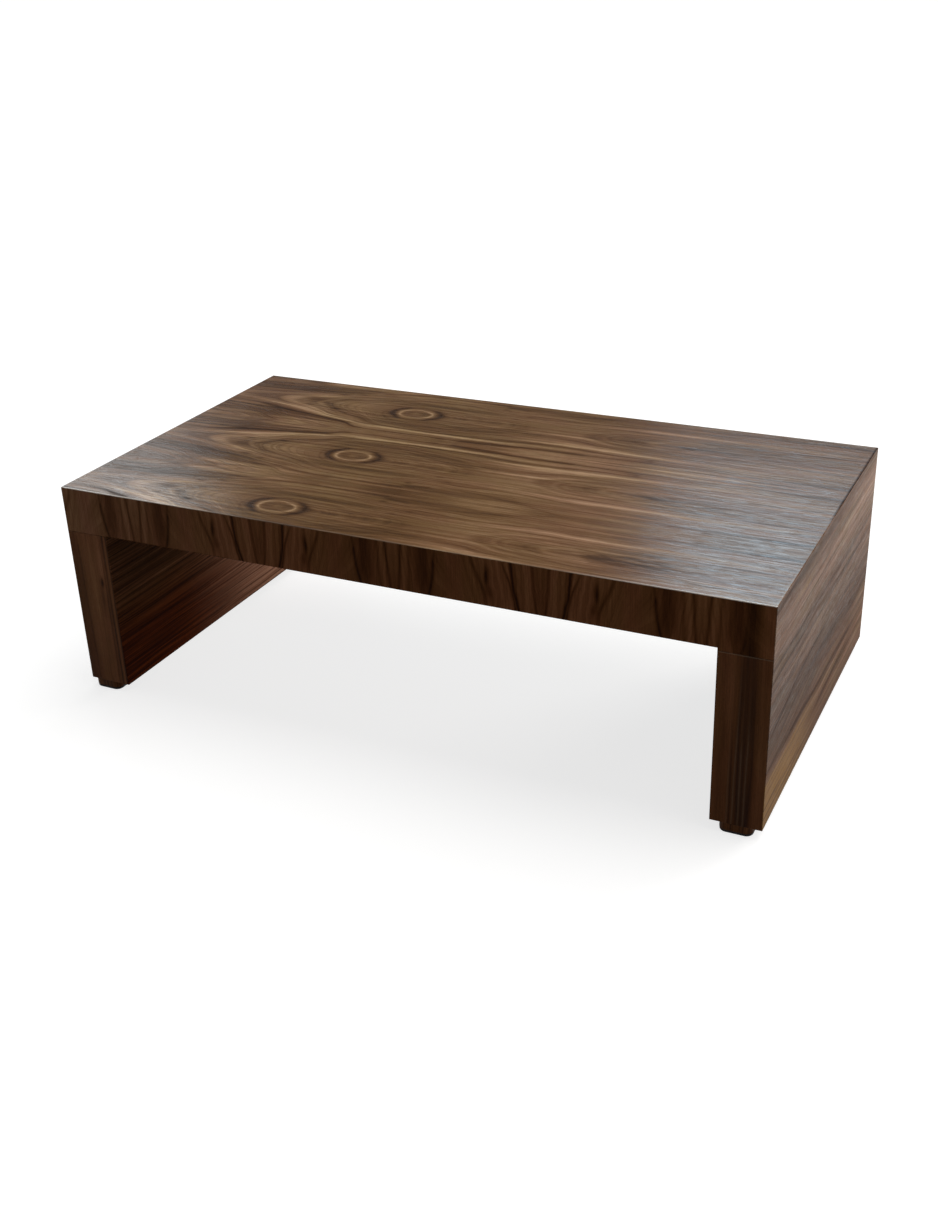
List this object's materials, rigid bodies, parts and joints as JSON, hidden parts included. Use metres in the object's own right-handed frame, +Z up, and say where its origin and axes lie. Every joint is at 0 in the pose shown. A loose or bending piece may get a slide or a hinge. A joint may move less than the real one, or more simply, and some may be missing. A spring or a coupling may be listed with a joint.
{
  "type": "coffee table",
  "caption": "Low rectangular waterfall coffee table: a thick hollow top that folds down through mitred corners into full-depth end slabs, on small rounded foot blocks.",
  "frame": {"origin": "on the floor, under the middle of the table", "axes": "+X along the length towards the right end, -Y towards the front, +Z up"},
  "size_m": [1.219, 0.66, 0.381],
  "materials": {
    "walnut_veneer": "satin lacquered figured walnut veneer",
    "board": "raw plywood",
    "frame_timber": "planed pale timber",
    "beech_tenon": "raw beech",
    "walnut_foot": "satin lacquered solid walnut",
    "felt_pad": "dark felt",
    "zinc_screw": "zinc plated"
  },
  "bodies": {
    "root": {"back_apron_leaf_1": "walnut_veneer", "back_apron_leaf_2": "walnut_veneer", "back_apron_leaf_3": "walnut_veneer", "back_apron_leaf_4": "walnut_veneer", "back_apron_leaf_5": "walnut_veneer", "back_apron_leaf_6": "walnut_veneer", "back_rail": "frame_timber", "cross_rib_1": "frame_timber", "cross_rib_2": "frame_timber", "cross_rib_3": "frame_timber", "cross_rib_4": "frame_timber", "cross_rib_5": "frame_timber", "foot_left_back": "walnut_foot", "foot_left_front": "walnut_foot", "foot_pads": "felt_pad", "foot_right_back": "walnut_foot", "foot_right_front": "walnut_foot", "foot_screws": "zinc_screw", "front_apron_leaf_1": "walnut_veneer", "front_apron_leaf_2": "walnut_veneer", "front_apron_leaf_3": "walnut_veneer", "front_apron_leaf_4": "walnut_veneer", "front_apron_leaf_5": "walnut_veneer", "front_apron_leaf_6": "walnut_veneer", "front_rail": "frame_timber", "left_back_edge_veneer": "walnut_veneer", "left_back_stile": "frame_timber", "left_bottom_plate": "frame_timber", "left_front_edge_veneer": "walnut_veneer", "left_front_stile": "frame_timber", "left_inner_panel": "board", "left_inner_veneer": "walnut_veneer", "left_mid_rail": "frame_timber", "left_mitre_block": "frame_timber", "left_outer_panel": "board", "left_outer_veneer_lower": "walnut_veneer", "left_outer_veneer_upper": "walnut_veneer", "left_top_rail": "frame_timber", "leg_tenons": "beech_tenon", "mitre_tenons": "beech_tenon", "right_back_edge_veneer": "walnut_veneer", "right_back_stile": "frame_timber", "right_bottom_plate": "frame_timber", "right_front_edge_veneer": "walnut_veneer", "right_front_stile": "frame_timber", "right_inner_panel": "board", "right_inner_veneer": "walnut_veneer", "right_mid_rail": "frame_timber", "right_mitre_block": "frame_timber", "right_outer_panel": "board", "right_outer_veneer_lower": "walnut_veneer", "right_outer_veneer_upper": "walnut_veneer", "right_top_rail": "frame_timber", "top_panel": "board", "top_veneer_back": "walnut_veneer", "top_veneer_front": "walnut_veneer", "top_veneer_middle": "walnut_veneer", "underside_panel": "board", "underside_veneer": "walnut_veneer"}
  },
  "joints": []
}
